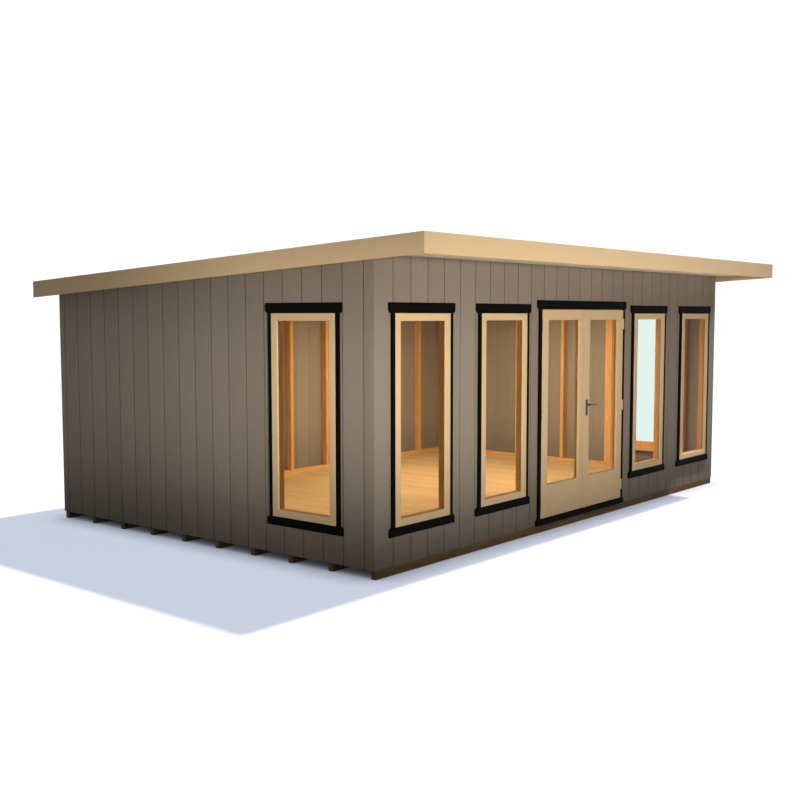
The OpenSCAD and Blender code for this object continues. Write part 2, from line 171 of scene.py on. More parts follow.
# soft broad variation, as on a brushed coat, and fine specks
def buildMottleGroup(look):
    tree, entry, leave = newGroup("coatMottle", {"Scale": 2.0}, ("Broad", "Speck"))
    coord = addNode(tree, "ShaderNodeTexCoord")
    broad = setInputs(addNode(tree, "ShaderNodeTexNoise"), look["broad"])
    speck = setInputs(addNode(tree, "ShaderNodeTexNoise"), look["speck"])
    join(
        tree,
        (coord.outputs["Object"], broad.inputs["Vector"]),
        (entry.outputs["Scale"], broad.inputs["Scale"]),
        (coord.outputs["Object"], speck.inputs["Vector"]),
        (broad.outputs["Fac"], leave.inputs["Broad"]),
        (speck.outputs["Fac"], leave.inputs["Speck"]),
    )
    return tree


splashLook = {"drops": {"Scale": 9.0, "Detail": 5.0}, "patchy": (0.4, 1.4)}


# rain splash that fades up from the ground
def buildSplashGroup(look):
    tree, entry, leave = newGroup("groundSplash", {"Top": 0.4}, ("Dirt",))
    coord = addNode(tree, "ShaderNodeTexCoord")
    split = addNode(tree, "ShaderNodeSeparateXYZ")
    drops = setInputs(addNode(tree, "ShaderNodeTexNoise"), look["drops"])
    fade = addNode(tree, "ShaderNodeMapRange", interpolation_type="SMOOTHSTEP")
    setInputs(fade, {"To Min": 1.0, "To Max": 0.0})
    join(
        tree,
        (coord.outputs["Object"], split.inputs[0]),
        (coord.outputs["Object"], drops.inputs["Vector"]),
        (split.outputs["Z"], fade.inputs["Value"]),
        (entry.outputs["Top"], fade.inputs["From Max"]),
        (product(tree, fade.outputs[0], spread(tree, drops.outputs["Fac"], *look["patchy"])),
         leave.inputs["Dirt"]),
    )
    return tree


grainGroup = buildGrainGroup(grainLook)
mottleGroup = buildMottleGroup(mottleLook)
splashGroup = buildSplashGroup(splashLook)


# material helpers

def newMaterial(name):
    material = bpy.data.materials.new(name)
    material.use_nodes = True
    tree = material.node_tree
    return material, tree, tree.nodes["Principled BSDF"]


def useGroup(tree, group, **values):
    return setInputs(addNode(tree, "ShaderNodeGroup", node_tree=group), values)


def addBump(tree, shader, height, strength, distance):
    bump = setInputs(addNode(tree, "ShaderNodeBump"), {"Strength": strength, "Distance": distance})
    join(tree, (height, bump.inputs["Height"]), (bump.outputs[0], shader.inputs["Normal"]))


def scaleColour(colour, factor):
    return tuple(min(1.0, c * factor) for c in colour)


def varyColour(tree, factor, colour, vary):
    return mixColour(tree, factor, scaleColour(colour, 1 - vary), scaleColour(colour, 1 + vary))


def shadeBase(tree, shader, colour, shade):
    grey = addNode(tree, "ShaderNodeCombineColor")
    join(tree, *((shade, grey.inputs[channel]) for channel in range(3)))
    join(tree, (mixColour(tree, 1.0, colour, grey.outputs[0], "MULTIPLY"), shader.inputs["Base Color"]))


paintCoat = {
    "stretch": 0.03, "seamShade": 0.35, "splashShade": 0.72, "roughVary": 0.08, "rings": 0.5,
    "relief": 0.0012,
}


def paintedTimber(name, look):
    material, tree, shader = newMaterial(name)
    grain = useGroup(tree, grainGroup, Fineness=look["fineness"], Stretch=paintCoat["stretch"])
    mottle = useGroup(tree, mottleGroup, Scale=look["mottle"])
    piece = varyColour(tree, grain.outputs["Tone"], look["colour"], look["vary"])
    streak = around(tree, grain.outputs["Fine"], 1, look["streak"])
    broad = around(tree, mottle.outputs["Broad"], 1, look["broad"])
    # seam faces painted darker: painted shade in the grooves
    seam = addNode(tree, "ShaderNodeAttribute", attribute_name="seamPaintedShade")
    shade = product(tree, streak, broad, spread(tree, seam.outputs["Fac"], 1.0, paintCoat["seamShade"]))
    if "splash" in look:
        worn = useGroup(tree, splashGroup, Top=look["splash"])
        shade = product(tree, shade, spread(tree, worn.outputs["Dirt"], 1.0, paintCoat["splashShade"]))
    shadeBase(tree, shader, piece, shade)
    rough = around(tree, grain.outputs["Grain"], look["rough"], paintCoat["roughVary"])
    join(tree, (rough, shader.inputs["Roughness"]))
    shader.inputs["Specular IOR Level"].default_value = look["shine"]
    height = maths(tree, "MULTIPLY_ADD", grain.outputs["Bands"], paintCoat["rings"], grain.outputs["Fine"])
    addBump(tree, shader, height, look["bump"], paintCoat["relief"])
    return material


bareWood = {
    "stretch": 0.035, "mottle": 3.0, "broad": 0.08, "paintedShadeRange": (0.1, 1.9), "roughVary": 0.1, "relief": 0.001,
}


def bareTimber(name, look):
    material, tree, shader = newMaterial(name)
    grain = useGroup(tree, grainGroup, Fineness=look["fineness"], Stretch=bareWood["stretch"])
    mottle = useGroup(tree, mottleGroup, Scale=bareWood["mottle"])
    wood = mixColour(tree, product(tree, grain.outputs["Bands"], look["bands"]), look["early"], look["late"])
    fine = around(tree, grain.outputs["Fine"], 1, look["streak"])
    tone = around(tree, grain.outputs["Tone"], 1, look["vary"])
    shade = product(tree, fine, tone, around(tree, mottle.outputs["Broad"], 1, bareWood["broad"]))
    if "paintedShadeReach" in look:  # painted shade where other parts are near, and painted light on open faces
        nearby = addNode(tree, "ShaderNodeAmbientOcclusion", samples=4)
        nearby.inputs["Distance"].default_value = look["paintedShadeReach"]
        shade = product(tree, shade, spread(tree, nearby.outputs["AO"], *bareWood["paintedShadeRange"]))
    shadeBase(tree, shader, wood, shade)
    rough = around(tree, grain.outputs["Fine"], look["rough"], bareWood["roughVary"])
    join(tree, (rough, shader.inputs["Roughness"]))
    shader.inputs["Specular IOR Level"].default_value = look["shine"]
    height = maths(tree, "ADD", grain.outputs["Bands"], grain.outputs["Fine"])
    addBump(tree, shader, height, look["bump"], bareWood["relief"])
    return material


def felt(name, look):
    material, tree, shader = newMaterial(name)
    mottle = useGroup(tree, mottleGroup, Scale=look["mottle"])
    coord = addNode(tree, "ShaderNodeTexCoord")
    chips = setInputs(addNode(tree, "ShaderNodeTexVoronoi"), {"Scale": look["chips"]})
    join(tree, (coord.outputs["Object"], chips.inputs["Vector"]))
    sheet = addNode(tree, "ShaderNodeAttribute", attribute_name="pieceTone")  # sheets weather apart
    shade = product(
        tree,
        spread(tree, chips.outputs["Distance"], *look["chipShade"]),
        spread(tree, mottle.outputs["Broad"], *look["broad"]),
        spread(tree, sheet.outputs["Fac"], *look["sheets"]),
    )
    shadeBase(tree, shader, look["colour"], shade)
    join(tree, (spread(tree, mottle.outputs["Speck"], *look["rough"]), shader.inputs["Roughness"]))
    addBump(tree, shader, chips.outputs["Distance"], look["bump"], look["relief"])
    return material


steelSkin = {"mottle": 30.0, "vary": 0.2, "roughVary": 0.07, "bump": 0.05, "relief": 0.0003}


def fittingSteel(name, look):
    material, tree, shader = newMaterial(name)
    mottle = useGroup(tree, mottleGroup, Scale=steelSkin["mottle"])
    tint = varyColour(tree, mottle.outputs["Broad"], look["colour"], steelSkin["vary"])
    rough = around(tree, mottle.outputs["Speck"], look["rough"], steelSkin["roughVary"])
    join(tree, (tint, shader.inputs["Base Color"]), (rough, shader.inputs["Roughness"]))
    shader.inputs["Metallic"].default_value = look["metal"]
    addBump(tree, shader, mottle.outputs["Speck"], steelSkin["bump"], steelSkin["relief"])
    return material


# panes let light through as tinted, clear sheets, so that the room isn't dark
def clearGlass(name, look):
    material, tree, shader = newMaterial(name)
    shader.inputs["Base Color"].default_value = (*look["tint"], 1)
    shader.inputs["Transmission Weight"].default_value = 1.0
    shader.inputs["IOR"].default_value = look["index"]
    shader.inputs["Specular IOR Level"].default_value = look["shine"]
    mottle = useGroup(tree, mottleGroup, Scale=look["mottle"])
    clear = addNode(tree, "ShaderNodeBsdfTransparent")
    clear.inputs["Color"].default_value = (*look["through"], 1)
    path = addNode(tree, "ShaderNodeLightPath")
    blend = addNode(tree, "ShaderNodeMixShader")
    join(
        tree,
        (spread(tree, mottle.outputs["Broad"], 0.0, look["haze"]), shader.inputs["Roughness"]),
        (path.outputs["Is Shadow Ray"], blend.inputs[0]),
        (shader.outputs[0], blend.inputs[1]),
        (clear.outputs[0], blend.inputs[2]),
        (blend.outputs[0], tree.nodes["Material Output"].inputs["Surface"]),
    )
    return material


finishes = {
    "cladding": paintedTimber("claddingPaint", {
        "colour": (0.302, 0.252, 0.203), "vary": 0.04, "streak": 0.16, "broad": 0.05, "fineness": 80.0,
        "mottle": 0.8, "rough": 0.62, "shine": 0.06, "bump": 0.3, "splash": 0.7}),
    "cream": paintedTimber("creamPaint", {
        "colour": (0.76, 0.545, 0.305), "vary": 0.02, "streak": 0.05, "broad": 0.03, "fineness": 60.0,
        "mottle": 1.5, "rough": 0.5, "shine": 0.1, "bump": 0.12}),
    "black": paintedTimber("blackPaint", {
        "colour": (0.0035, 0.0035, 0.003), "vary": 0.1, "streak": 0.25, "broad": 0.15, "fineness": 70.0,
        "mottle": 2.0, "rough": 0.6, "shine": 0.015, "bump": 0.2}),
    # the walls' grey-taupe painted about twice as light: painted light from below on the soffit
    "soffit": paintedTimber("soffitPaint", {
        "colour": (0.60, 0.485, 0.37), "vary": 0.02, "streak": 0.06, "broad": 0.05, "fineness": 60.0,
        "mottle": 1.2, "rough": 0.65, "shine": 0.15, "bump": 0.15}),
    "pine": bareTimber("planedPine", {
        "early": (0.80, 0.43, 0.15), "late": (0.62, 0.285, 0.085), "bands": 0.6, "streak": 0.1, "vary": 0.07,
        "fineness": 55.0, "rough": 0.5, "shine": 0.2, "bump": 0.15}),
    "floor": bareTimber("floorPine", {
        "early": (0.67, 0.43, 0.21), "late": (0.53, 0.305, 0.13), "bands": 0.5, "streak": 0.1, "vary": 0.1,
        "fineness": 50.0, "rough": 0.42, "shine": 0.25, "bump": 0.12}),
    # the bearers carry painted shade where other parts are near, and painted light where open
    "bearer": bareTimber("treatedTimber", {
        "early": (0.22, 0.135, 0.066), "late": (0.14, 0.08, 0.037), "bands": 0.6, "streak": 0.2, "vary": 0.12,
        "fineness": 60.0, "rough": 0.75, "shine": 0.1, "bump": 0.4, "paintedShadeReach": 0.4}),
    "deck": bareTimber("deckBoard", {
        "early": (0.55, 0.36, 0.17), "late": (0.40, 0.24, 0.10), "bands": 0.4, "streak": 0.2, "vary": 0.05,
        "fineness": 30.0, "rough": 0.7, "shine": 0.2, "bump": 0.3}),
    "felt": felt("mineralFelt", {
        "colour": (0.034, 0.036, 0.040), "mottle": 1.4, "chips": 260.0, "chipShade": (0.7, 1.5),
        "broad": (0.8, 1.2), "sheets": (0.82, 1.2), "rough": (0.8, 0.98), "bump": 0.4, "relief": 0.0015}),
    "steel": fittingSteel("darkSteel", {"colour": (0.06, 0.072, 0.098), "metal": 0.85, "rough": 0.36}),
    "hinge": fittingSteel("paintedSteel", {"colour": (0.70, 0.505, 0.285), "metal": 0.0, "rough": 0.45}),
    "glass": clearGlass("clearGlass", {
        "tint": (0.85, 0.91, 0.83), "through": (0.36, 0.36, 0.33), "index": 1.06, "shine": 0.3,
        "mottle": 1.6, "haze": 0.02}),
}
print("materials made:", len(finishes))


# mesh helpers

meshRules = {
    "weld": 1e-5, "flat": math.radians(1), "corner": math.radians(40), "cornerSteps": 2,
    "sharp": math.radians(20),
}


def startMesh(node):
    bm = bmesh.new()
    bm.from_mesh(nodes[node].data)
    bmesh.ops.remove_doubles(bm, verts=bm.verts, dist=meshRules["weld"])
    bmesh.ops.dissolve_limit(bm, angle_limit=meshRules["flat"], verts=bm.verts, edges=bm.edges)
    return bm


def toMesh(bm, name):
    mesh = bpy.data.meshes.new(name)
    bm.to_mesh(mesh)
    bm.free()
    carried = mesh.attributes.get("custom_normal")  # normals of the loaded solid no longer fit
    if carried:
        mesh.attributes.remove(carried)
    return mesh


def islandsOf(bm):
    left = set(bm.faces)
    while left:
        patch, queue = set(), [left.pop()]
        while queue:
            face = queue.pop()
            patch.add(face)
            for edge in face.edges:
                for other in edge.link_faces:
                    if other in left:
                        left.discard(other)
                        queue.append(other)
        yield sorted(patch, key=lambda f: f.index)


def axisVector(axis):
    return Vector([1.0 if i == axis else 0.0 for i in range(3)])


# each solid gets its own tone and the axis its grain runs along
def tagTimber(bm, seed, axis=None):
    bm.faces.ensure_lookup_table()
    bm.faces.index_update()
    toneLayer = bm.faces.layers.float.new("pieceTone")
    axisLayer = bm.faces.layers.float_vector.new("grainAxis")
    for patch in sorted(islandsOf(bm), key=lambda p: p[0].index):
        points = [v.co for f in patch for v in f.verts]
        size = [max(p[i] for p in points) - min(p[i] for p in points) for i in range(3)]
        middle = tuple(round(sum(p[i] for p in points) / len(points), 3) for i in range(3))
        longest = size.index(max(size)) if axis is None else axis
        draw = random.Random(f"{seed}{middle}").random()
        for face in patch:
            face[toneLayer] = draw
            face[axisLayer] = axisVector(longest)


def evaluated(mesh, prepare):
    holder = bpy.data.objects.new("holder", mesh)
    bpy.context.scene.collection.objects.link(holder)
    prepare(holder)
    graph = bpy.context.evaluated_depsgraph_get()
    result = bpy.data.meshes.new_from_object(holder.evaluated_get(graph))
    bpy.data.objects.remove(holder)
    return result


def eased(mesh, width):
    def prepare(holder):
        bevel = holder.modifiers.new("edges", "BEVEL")
        bevel.width = width
        bevel.segments = meshRules["cornerSteps"]
        bevel.limit_method = "ANGLE"
        bevel.angle_limit = meshRules["corner"]
    return evaluated(mesh, prepare)


def placePiece(name, mesh, finish, standsFor):
    mesh.materials.clear()
    mesh.materials.append(finishes[finish])
    mesh.shade_smooth()
    mesh.set_sharp_from_angle(angle=meshRules["sharp"])
    piece = bpy.data.objects.new(name, mesh)
    bpy.context.scene.collection.objects.link(piece)
    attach(piece, bodyOf[standsFor])
    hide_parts(standsFor)


# helpers for node trees that make shapes

def newShapeTree(name, inputs):
    tree = bpy.data.node_groups.new(name, "GeometryNodeTree")
    sockets = {}
    for label, kind in inputs.items():
        socket = tree.interface.new_socket(label, in_out="INPUT", socket_type="NodeSocket" + kind)
        sockets[label] = socket.identifier
    tree.interface.new_socket("Geometry", in_out="OUTPUT", socket_type="NodeSocketGeometry")
    return tree, sockets, addNode(tree, "NodeGroupInput"), addNode(tree, "NodeGroupOutput")


# copies of one shape, turned and set out in a row
def rowOf(tree, entry, shape):
    row = addNode(tree, "GeometryNodeMeshLine", mode="OFFSET")
    turned = addNode(tree, "GeometryNodeTransform")
    placed = addNode(tree, "GeometryNodeInstanceOnPoints")
    join(
        tree,
        (entry.outputs["Count"], row.inputs["Count"]),
        (entry.outputs["First"], row.inputs["Start Location"]),
        (entry.outputs["Step"], row.inputs["Offset"]),
        (shape, turned.inputs["Geometry"]),
        (entry.outputs["Turn"], turned.inputs["Rotation"]),
        (row.outputs[0], placed.inputs["Points"]),
        (turned.outputs[0], placed.inputs["Instance"]),
    )
    return turned, placed.outputs[0]


def endTree(tree, entry, leave, shape):
    real = addNode(tree, "GeometryNodeRealizeInstances")
    dressed = addNode(tree, "GeometryNodeSetMaterial")
    join(
        tree,
        (shape, real.inputs[0]),
        (real.outputs[0], dressed.inputs["Geometry"]),
        (entry.outputs["Finish"], dressed.inputs["Material"]),
        (dressed.outputs[0], leave.inputs[0]),
    )


def runTree(mesh, tree, sockets, values):
    def prepare(holder):
        modifier = holder.modifiers.new("shape", "NODES")
        modifier.node_group = tree
        for label, value in values.items():
            modifier[sockets[label]] = value
    return evaluated(mesh, prepare)


# cladding and floor boards: seams cut by a node tree

def seamTree():
    tree, sockets, entry, leave = newShapeTree("boardSeams", {
        "Geometry": "Geometry", "Count": "Int", "First": "Vector", "Step": "Vector", "Turn": "Vector",
        "Shape": "Vector", "Finish": "Material"})
    cutter = addNode(tree, "GeometryNodeMeshCylinder")  # four sides, for a seam in the shape of a V
    setInputs(cutter, {"Vertices": 4, "Radius": 1.0, "Depth": 1.0})
    turned, cutters = rowOf(tree, entry, cutter.outputs["Mesh"])
    cut = addNode(tree, "GeometryNodeMeshBoolean", operation="DIFFERENCE", solver="EXACT")
    join(
        tree,
        (entry.outputs["Shape"], turned.inputs["Scale"]),
        (entry.outputs["Geometry"], cut.inputs[0]),
        (cutters, cut.inputs[1]),
    )
    endTree(tree, entry, leave, cut.outputs[0])
    return tree, sockets


boardSeams = seamTree()

seamSlopes = (0.2, 0.98)  # how far the faces of a seam lean along the wall


# tone per board, from where each face lies along the wall, and painted shade on the faces of the seams
def tagBoards(mesh, along, first, pitch, grain, seed):
    bm = bmesh.new()
    bm.from_mesh(mesh)
    toneLayer = bm.faces.layers.float.new("pieceTone")
    seamShadeLayer = bm.faces.layers.float.new("seamPaintedShade")
    axisLayer = bm.faces.layers.float_vector.new("grainAxis")
    for face in bm.faces:
        face[seamShadeLayer] = 1.0 if seamSlopes[0] < abs(face.normal[along]) < seamSlopes[1] else 0.0
        board = math.floor((face.calc_center_median()[along] - first) / pitch)
        face[toneLayer] = random.Random(f"{seed}{board}").random()
        face[axisLayer] = axisVector(grain)
    bm.to_mesh(mesh)
    bm.free()


cladBoards = {
    "pitch": 0.2078, "first": (-2.768, -1.646), "count": (28, 19), "middle": 1.2, "long": 6.0,
    "outerSeam": (0.0038, 0.0062), "innerSeam": (0.0011, 0.002),
    # the axis along which the boards follow each other, and which face is outside
    "walls": {"front_wall_left": (0, 0), "front_wall_right": (0, 0), "front_wall_over_door": (0, 0),
              "back_wall": (0, 1), "left_wall": (1, 0), "right_wall": (1, 1)},
}


def buildCladding(spec):
    for node, (along, outer) in spec["walls"].items():
        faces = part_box(node)
        first = spec["first"][along]
        mesh = toMesh(startMesh(node), node)
        for side, seam in ((outer, "outerSeam"), (1 - outer, "innerSeam")):
            start, step, shape = Vector((0, 0, spec["middle"])), Vector(), Vector((0, 0, spec["long"]))
            shape[along], shape[1 - along] = spec[seam]
            start[along], step[along] = first, spec["pitch"]
            start[1 - along] = faces[side][1 - along]
            mesh = runTree(mesh, *boardSeams, {
                "Count": spec["count"][along], "First": start, "Step": step, "Turn": (0.0, 0.0, 0.0),
                "Shape": shape, "Finish": finishes["cladding"]})
        tagBoards(mesh, along, first, spec["pitch"], 2, node[:5])  # walls on one side share their draws
        placePiece(node + "_boards", mesh, "cladding", node)
    print("cladding boards cut:", len(spec["walls"]), "walls")


buildCladding(cladBoards)

floorBoards = {"pitch": 0.119, "seam": (0.002, 0.004), "lift": 0.0004, "middle": 0.2, "long": 9.0}


def buildFloor(spec):
    low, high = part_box("floor_deck")
    count = int((high.x - low.x) / spec["pitch"])
    first = low.x + spec["pitch"]
    mesh = runTree(toMesh(startMesh("floor_deck"), "floor"), *boardSeams, {
        "Count": count, "First": (first, spec["middle"], high.z + spec["lift"]),
        "Step": (spec["pitch"], 0.0, 0.0), "Turn": (math.pi / 2, 0.0, 0.0),
        "Shape": (*spec["seam"], spec["long"]), "Finish": finishes["floor"]})
    tagBoards(mesh, 0, first, spec["pitch"], 1, "floor")
    placePiece("floor_boards", mesh, "floor", "floor_deck")
    print("floor boards cut:", count)


buildFloor(floorBoards)


# joinery: frames and leaves with the joints between stiles and rails

joinery = {
    "joint": 0.0011, "overrun": 0.01, "bite": 0.002,
    "mould": 0.009, "mouldSteps": 3, "near": 1e-4, "midRail": 1e-3,
    "frameEdge": 0.0025, "liningEdge": 0.0016, "leafEdge": 0.0025, "beadEdge": 0.003,
    "frontWindows": [-2.4268, -1.3252, 1.3252, 2.4268], "endWindows": [-1.044],
    "glassHalf": 0.271, "glassLow": 0.421, "glassHigh": 1.893, "frameLow": 0.362, "frameHigh": 1.952,
    "frameFace": (-1.764, 3.005), "frameMiddle": (-1.75, 2.99),
    "leafFaces": (-1.764, -1.719), "leafMiddle": -1.74, "leafLow": 0.128, "leafHigh": 1.983,
    "leafGlass": ((-0.635, -0.102), (0.102, 0.635)), "leafGlassLow": 0.425, "leafGlassHigh": 1.891,
}


# the heights over which a rail meets its stile, below and above the pane
def railSpans(spec, outside, glass):
    below = (spec[outside + "Low"] - spec["overrun"], spec[glass + "Low"] + spec["bite"])
    above = (spec[glass + "High"] - spec["bite"], spec[outside + "High"] + spec["overrun"])
    return below, above


# short upright V cuts where a rail meets a stile
def cutJoints(mesh, joints, size):
    bm = bmesh.new()
    quarter = Matrix.Rotation(math.pi / 4, 3, "Z")
    for x, y, low, high in joints:
        made = bmesh.ops.create_cone(
            bm, cap_ends=True, segments=4, radius1=size, radius2=size, depth=high - low)["verts"]
        bmesh.ops.rotate(bm, verts=made, cent=(0, 0, 0), matrix=quarter)
        bmesh.ops.translate(bm, verts=made, vec=(x, y, (low + high) / 2))
    cutters = bpy.data.objects.new("cutters", toMesh(bm, "cutters"))
    bpy.context.scene.collection.objects.link(cutters)

    def prepare(holder):
        cut = holder.modifiers.new("joints", "BOOLEAN")
        cut.operation = "DIFFERENCE"
        cut.solver = "EXACT"
        cut.object = cutters

    result = evaluated(mesh, prepare)
    bpy.data.objects.remove(cutters)
    return result


# rounded inner edge round each pane, on the outer face
def mouldEdges(bm, openings, spec):
    near = spec["near"]
    picked = []
    for edge in bm.edges:
        middle = (edge.verts[0].co + edge.verts[1].co) / 2
        for opening in openings:
            axis, low, high = opening["axis"], opening["low"], opening["high"]
            along = abs(middle[axis] - opening["centre"][axis])
            stile = abs(along - opening["half"]) < near and low < middle.z < high
            rail = min(abs(middle.z - low), abs(middle.z - high)) < near and along < spec["midRail"]
            onFace = all(abs(v.co[1 - axis] - opening["face"]) < near for v in edge.verts)
            if onFace and (stile or rail):
                picked.append(edge)
    bmesh.ops.bevel(bm, geom=picked, offset=spec["mould"], offset_type="OFFSET", segments=spec["mouldSteps"],
                    profile=0.5, affect="EDGES")
    return len(picked)


# rails take their grain sideways, stiles upwards
def tagJoinery(mesh, openings, near, seed):
    bm = bmesh.new()
    bm.from_mesh(mesh)
    toneLayer = bm.faces.layers.float.new("pieceTone")
    axisLayer = bm.faces.layers.float_vector.new("grainAxis")
    for face in bm.faces:
        middle = face.calc_center_median()
        nearest = min(openings, key=lambda o: (middle - o["centre"]).length)
        axis, low, high = nearest["axis"], nearest["low"], nearest["high"]
        offset = middle[axis] - nearest["centre"][axis]
        rail = not low < middle.z < high and abs(offset) < nearest["half"] + near
        member = "low" if rail and middle.z < low else "high" if rail else offset > 0
        face[toneLayer] = random.Random(f"{seed}{tuple(nearest['centre'])}{member}").random()
        face[axisLayer] = axisVector(axis if rail else 2)
    bm.to_mesh(mesh)
    bm.free()


def buildWindows(spec):
    openings, joints = [], []
    middle = (spec["glassLow"] + spec["glassHigh"]) / 2
    frontFace, endFace = spec["frameFace"]
    frontMiddle, endMiddle = spec["frameMiddle"]
    sides = [side * spec["glassHalf"] for side in (-1, 1)]
    rails = railSpans(spec, "frame", "glass")
    for x in spec["frontWindows"]:
        openings.append({"axis": 0, "centre": Vector((x, frontMiddle, middle)), "face": frontFace})
        joints += [(x + side, frontFace, *rail) for side in sides for rail in rails]
    for y in spec["endWindows"]:
        for end in (-1, 1):
            face = end * endFace
            openings.append({"axis": 1, "centre": Vector((end * endMiddle, y, middle)), "face": face})
            joints += [(face, y + side, *rail) for side in sides for rail in rails]
    for opening in openings:
        opening.update(half=spec["glassHalf"], low=spec["glassLow"], high=spec["glassHigh"])
    bm = startMesh("window_frames")
    moulded = mouldEdges(bm, openings, spec)
    frames = cutJoints(eased(toMesh(bm, "frames"), spec["frameEdge"]), joints, spec["joint"])
    tagJoinery(frames, openings, spec["near"], "frame")
    placePiece("window_frames_joined", frames, "cream", "window_frames")
    linings = eased(toMesh(startMesh("window_linings"), "linings"), spec["liningEdge"])
    tagJoinery(linings, openings, spec["near"], "lining")
    placePiece("window_linings_eased", linings, "pine", "window_linings")
    print("window frames joined:", len(openings), "with", moulded, "moulded edges")


def buildLeaves(spec):
    low, high = spec["leafGlassLow"], spec["leafGlassHigh"]
    rails = railSpans(spec, "leaf", "leafGlass")
    moulded = 0
    for side, (left, right) in zip(("left", "right"), spec["leafGlass"]):
        centre = Vector(((left + right) / 2, spec["leafMiddle"], (low + high) / 2))
        opening = {"axis": 0, "centre": centre, "half": (right - left) / 2, "low": low, "high": high,
                   "face": spec["leafFaces"][0]}
        joints = [(x, y, *rail) for x in (left, right) for y in spec["leafFaces"] for rail in rails]
        bm = startMesh(side + "_door_leaf")
        moulded += mouldEdges(bm, [opening], spec)
        leaf = cutJoints(eased(toMesh(bm, "leaf"), spec["leafEdge"]), joints, spec["joint"])
        tagJoinery(leaf, [opening], spec["near"], side)
        placePiece(side + "_door_leaf_joined", leaf, "cream", side + "_door_leaf")
        bead = eased(toMesh(startMesh(side + "_door_bead"), "bead"), spec["beadEdge"])
        tagJoinery(bead, [opening], spec["near"], side + "bead")
        placePiece(side + "_door_bead_eased", bead, "pine", side + "_door_bead")
    print("door leaves joined with", moulded, "moulded edges")


buildWindows(joinery)
buildLeaves(joinery)


# timber and fittings that keep their solid's shape, most with eased edges

plainPieces = {
    "floor_bearers": ("bearer", 0.003), "bottom_plates": ("pine", 0.002), "top_plates": ("pine", 0.002),
    "front_wall_studs": ("pine", 0.002), "back_wall_studs": ("pine", 0.002),
    "end_wall_studs": ("pine", 0.002), "trimmers": ("pine", 0.002),
    "side_trims": ("black", 0.0025), "head_trims": ("black", 0.003), "sill_trims": ("black", 0.003),
    "door_jambs": ("cream", 0.002), "door_head_jamb": ("cream", 0.002), "door_threshold": ("pine", 0.003),
    "rafters": ("pine", 0.002), "roof_deck": ("deck", 0.0), "soffits": ("soffit", 0.001),
    "front_fascia": ("cream", 0.0025), "back_fascia": ("cream", 0.0025),
    "left_barge_board": ("cream", 0.0025), "right_barge_board": ("cream", 0.0025),
    "door_frame_hinges": ("hinge", 0.0004), "left_door_hinges": ("hinge", 0.0004),
    "right_door_hinges": ("hinge", 0.0004),
    "door_handle_plates": ("steel", 0.001), "door_lever": ("steel", 0.0),
}


def buildPlainPieces(pieces):
    for node, (finish, edge) in pieces.items():
        bm = startMesh(node)
        tagTimber(bm, node)
        mesh = toMesh(bm, node)
        if edge:
            mesh = eased(mesh, edge)
        placePiece(node + "_dressed", mesh, finish, node)
    print("timber and fittings dressed:", len(pieces))


buildPlainPieces(plainPieces)


# panes keep their solids

def glazePanes():
    for node in ("window_panes", "left_door_pane", "right_door_pane"):
        for slot in nodes[node].material_slots:
            slot.material = finishes["glass"]
    print("panes glazed")


glazePanes()


# roof covering: lapped sheets laid up the slope

roofSheets = {
    "count": 5, "lap": 0.08, "thick": 0.0024, "rise": 0.0026, "cover": 0.004,
    "nailPitch": 0.1, "nailStart": 0.6, "nailInset": 0.025,
}


def sheetTree():
    tree, sockets, entry, leave = newShapeTree("lappedSheets", {
        "Geometry": "Geometry", "Count": "Int", "First": "Vector", "Step": "Vector", "Size": "Vector",
        "Turn": "Vector", "Finish": "Material"})
    sheet = addNode(tree, "GeometryNodeMeshCube")
    join(tree, (entry.outputs["Size"], sheet.inputs["Size"]))
    sheets = rowOf(tree, entry, sheet.outputs["Mesh"])[1]
    endTree(tree, entry, leave, sheets)
    return tree, sockets


# gives back where the nails go and the way they face
def buildRoofSheets(spec):
    low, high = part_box("roof_covering")
    depth, breadth = high.y - low.y, high.x - low.x
    slope = math.atan2((high.z - low.z) - spec["cover"], depth)
    exposed = (depth / math.cos(slope) - spec["lap"]) / spec["count"]
    width = exposed + spec["lap"]
    tilt = math.atan2(spec["rise"], width)
    down = Vector((0, math.cos(slope), -math.sin(slope)))
    up = Vector((0, math.sin(slope), math.cos(slope)))
    top = Vector((0, low.y, high.z))
    first = top + down * (width / 2) + up * (spec["rise"] / 2 + spec["thick"] / 2 - spec["cover"])
    made = runTree(bpy.data.meshes.new("sheets"), *sheetTree(), {
        "Count": spec["count"], "First": first, "Step": down * exposed,
        "Size": (breadth, width, spec["thick"]), "Turn": (tilt - slope, 0.0, 0.0),
        "Finish": finishes["felt"]})
    bm = bmesh.new()
    bm.from_mesh(made)
    tagTimber(bm, "sheet", 0)
    placePiece("roof_sheets", toMesh(bm, "roof_sheets"), "felt", "roof_covering")
    print("roof sheets laid:", spec["count"])
    edge = top + up * (spec["rise"] + spec["thick"] - spec["cover"])
    laps = [edge + down * (exposed * (k + 1) + spec["lap"] - spec["nailInset"])
            for k in range(spec["count"] - 1)]
    pitch = spec["nailPitch"]
    across = [low.x + pitch * (i + spec["nailStart"]) for i in range(int(breadth / pitch))]
    return [lap + Vector((x, 0, 0)) for lap in laps for x in across], up


feltNails = buildRoofSheets(roofSheets)


# screws and nails: one head, set out on points that carry the way they face

headShape = {"sides": 14, "slotLong": 1.3, "slotWide": 0.3, "slotLift": 0.6, "sharp": math.radians(35)}


